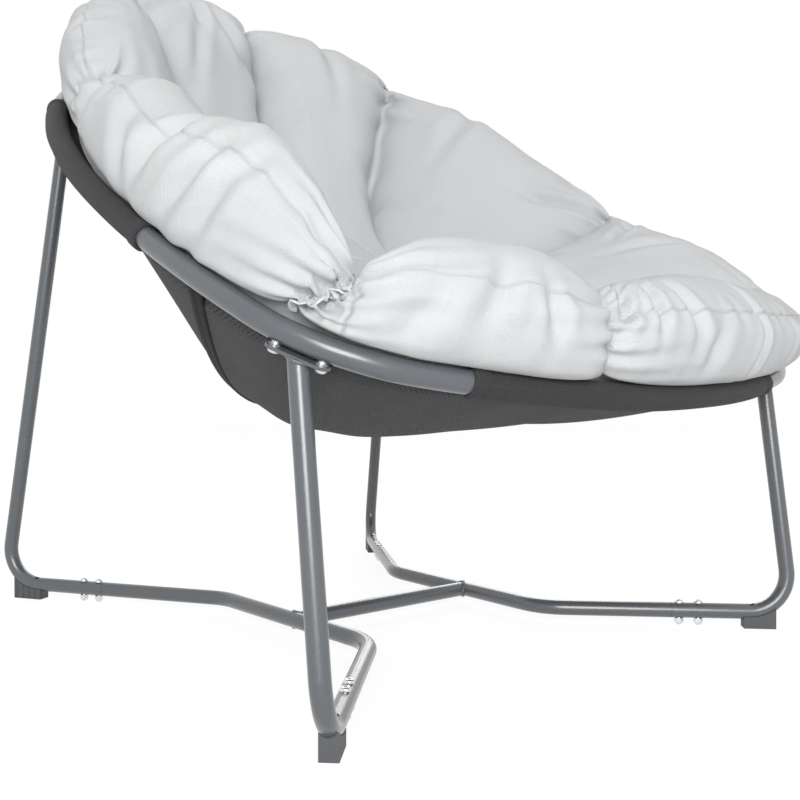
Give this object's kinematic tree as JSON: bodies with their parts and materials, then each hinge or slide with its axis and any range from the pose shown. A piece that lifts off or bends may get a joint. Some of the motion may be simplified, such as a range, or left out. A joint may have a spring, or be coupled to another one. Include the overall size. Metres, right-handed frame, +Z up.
{
  "type": "saucer chair",
  "caption": "Patio saucer chair: a tilted tubular hoop with a fabric sling and a tufted cushion on four bent legs bolted to a low floor frame.",
  "frame": {"origin": "on the floor, under the centre of the chair's bounding box", "axes": "the front of the chair faces -Y, +X is across the chair, +Z is up"},
  "size_m": [0.8478, 0.9294, 0.8701],
  "materials": {
    "frame_paint": "semi-gloss powder coat, mid grey",
    "zinc_hardware": "bright zinc plate",
    "foot_plastic": "moulded dark grey plastic",
    "sling_mesh": "woven coated polyester mesh, charcoal",
    "cushion_cloth": "light grey linen-look weave",
    "tie_tape": "light grey woven tape"
  },
  "bodies": {
    "frame": {"base_crossbar": "frame_paint", "base_side_left": "frame_paint", "base_side_right": "frame_paint", "cushion_tie_left": "tie_tape", "cushion_tie_right": "tie_tape", "foot_front_left": "foot_plastic", "foot_front_right": "foot_plastic", "foot_rear_left": "foot_plastic", "foot_rear_right": "foot_plastic", "foot_screws": "zinc_hardware", "hoop": "frame_paint", "joint_bolts_front_left": "zinc_hardware", "joint_bolts_front_right": "zinc_hardware", "joint_bolts_rear_left": "zinc_hardware", "joint_bolts_rear_right": "zinc_hardware", "joint_nuts_front_left": "zinc_hardware", "joint_nuts_front_right": "zinc_hardware", "joint_nuts_rear_left": "zinc_hardware", "joint_nuts_rear_right": "zinc_hardware", "leg_front_left": "frame_paint", "leg_front_right": "frame_paint", "leg_plate_front_left": "frame_paint", "leg_plate_front_right": "frame_paint", "leg_plate_rear_left": "frame_paint", "leg_plate_rear_right": "frame_paint", "leg_rear_left": "frame_paint", "leg_rear_right": "frame_paint", "plate_screws_front_left": "zinc_hardware", "plate_screws_front_right": "zinc_hardware", "plate_screws_rear_left": "zinc_hardware", "plate_screws_rear_right": "zinc_hardware", "plate_washers": "zinc_hardware", "sling_panel": "sling_mesh", "sling_sleeve_front": "sling_mesh", "sling_sleeve_left": "sling_mesh", "sling_sleeve_rear": "sling_mesh", "sling_sleeve_right": "sling_mesh", "threaded_inserts": "zinc_hardware"},
    "cushion": {"cushion": "cushion_cloth"}
  },
  "joints": [
    {"name": "cushion_lift", "type": "slide", "parent": "frame", "child": "cushion", "axis": [0, -0.4772, 0.8788], "range_m": [0, 0.35]}
  ]
}
